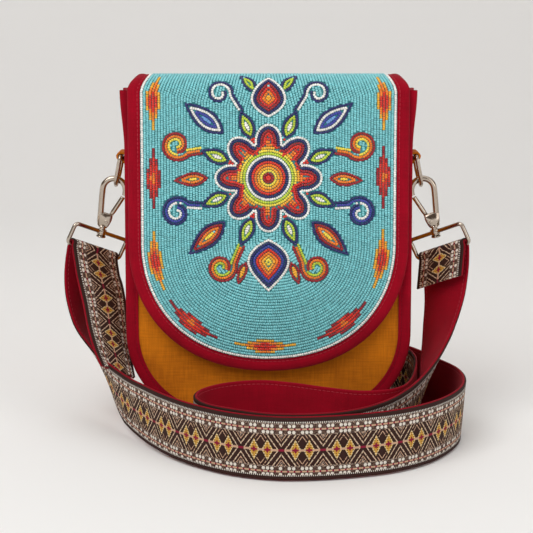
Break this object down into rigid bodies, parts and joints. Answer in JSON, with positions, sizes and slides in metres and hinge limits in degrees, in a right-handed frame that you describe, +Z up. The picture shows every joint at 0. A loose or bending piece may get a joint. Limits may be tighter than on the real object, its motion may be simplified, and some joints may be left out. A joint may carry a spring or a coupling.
{
  "type": "beaded crossbody bag",
  "caption": "Small upright crossbody bag with a beaded fold-over flap, bound panels, side rings with swivel hooks and a long patterned strap laid round its front",
  "frame": {"origin": "on the floor, under the middle of the whole object with its strap", "axes": "+Z up, the flap faces -Y, +X to the viewer's right"},
  "size_m": [0.2904, 0.218, 0.2477],
  "materials": {
    "twill": "mustard twill weave",
    "crimson_cloth": "crimson cloth tape",
    "lining_cloth": "plain woven lining",
    "white_beads": "glossy seed beads",
    "turquoise_beads": "satin turquoise seed beads",
    "orange_beads": "glossy orange seed beads",
    "red_beads": "glossy dark red seed beads",
    "navy_beads": "glossy navy seed beads",
    "nickel": "polished nickel",
    "strap_webbing": "jacquard ribbon on a crimson lining"
  },
  "bodies": {
    "bag": {"front_panel": "twill", "back_panel": "twill", "gusset": "twill", "front_binding": "crimson_cloth", "back_binding": "crimson_cloth", "front_hem": "crimson_cloth", "left_gusset_hem": "crimson_cloth", "right_gusset_hem": "crimson_cloth", "flap_anchor": "crimson_cloth", "left_tab": "crimson_cloth", "right_tab": "crimson_cloth", "lining": "lining_cloth", "left_loop": "nickel", "right_loop": "nickel", "snap_socket": "nickel", "strap": "strap_webbing"},
    "flap": {"flap_backing": "crimson_cloth", "flap_binding": "crimson_cloth", "bead_edge_row": "white_beads", "bead_field": "turquoise_beads", "snap_stud": "nickel", "lozenge_top_left": "orange_beads", "lozenge_top_right": "orange_beads", "lozenge_upper_left": "red_beads", "lozenge_upper_right": "red_beads", "lozenge_lower_left": "orange_beads", "lozenge_lower_right": "orange_beads", "lozenge_base_left": "red_beads", "lozenge_base_right": "red_beads", "lozenge_base": "orange_beads", "flower_petals": "navy_beads", "flower_core": "red_beads", "bud_top": "navy_beads", "bud_bottom": "navy_beads", "leaf_upper_left": "orange_beads", "leaf_upper_right": "orange_beads", "leaf_side_left": "orange_beads", "leaf_side_right": "orange_beads", "leaf_lower_left": "orange_beads", "leaf_lower_right": "orange_beads"},
    "left_ring": {"left_ring": "nickel"},
    "left_hook": {"left_hook": "nickel", "left_gate_pin": "nickel", "left_gate_spring": "nickel"},
    "left_gate": {"left_gate": "nickel"},
    "right_ring": {"right_ring": "nickel"},
    "right_hook": {"right_hook": "nickel", "right_gate_pin": "nickel", "right_gate_spring": "nickel"},
    "right_gate": {"right_gate": "nickel"}
  },
  "joints": [
    {"name": "flap_hinge", "type": "hinge", "parent": "bag", "child": "flap", "pos_m": [0.00136, 0.06188, 0.236], "axis": [-1, 0, 0], "range_deg": [0, 175]},
    {"name": "left_ring_swing", "type": "hinge", "parent": "bag", "child": "left_ring", "pos_m": [-0.10294, 0.04218, 0.19], "axis": [0, 1, 0], "range_deg": [-2, 6]},
    {"name": "left_swivel", "type": "hinge", "parent": "bag", "child": "left_hook", "pos_m": [-0.11845, 0.04218, 0.1345], "axis": [0.2079, 0, 0.9781], "range_deg": [-20, 20]},
    {"name": "left_gate_pivot", "type": "hinge", "parent": "left_hook", "child": "left_gate", "pos_m": [-0.11479, 0.04218, 0.14211], "axis": [0, -1, 0], "range_deg": [0, 22], "stiffness_Nm_per_rad": 0.02, "springref_deg": -8.59},
    {"name": "right_ring_swing", "type": "hinge", "parent": "bag", "child": "right_ring", "pos_m": [0.10566, 0.04218, 0.19], "axis": [0, -1, 0], "range_deg": [-2, 6]},
    {"name": "right_swivel", "type": "hinge", "parent": "bag", "child": "right_hook", "pos_m": [0.12116, 0.04218, 0.1345], "axis": [-0.2079, 0, 0.9781], "range_deg": [-20, 20]},
    {"name": "right_gate_pivot", "type": "hinge", "parent": "right_hook", "child": "right_gate", "pos_m": [0.1175, 0.04218, 0.14211], "axis": [0, 1, 0], "range_deg": [0, 22], "stiffness_Nm_per_rad": 0.02, "springref_deg": -8.59}
  ]
}
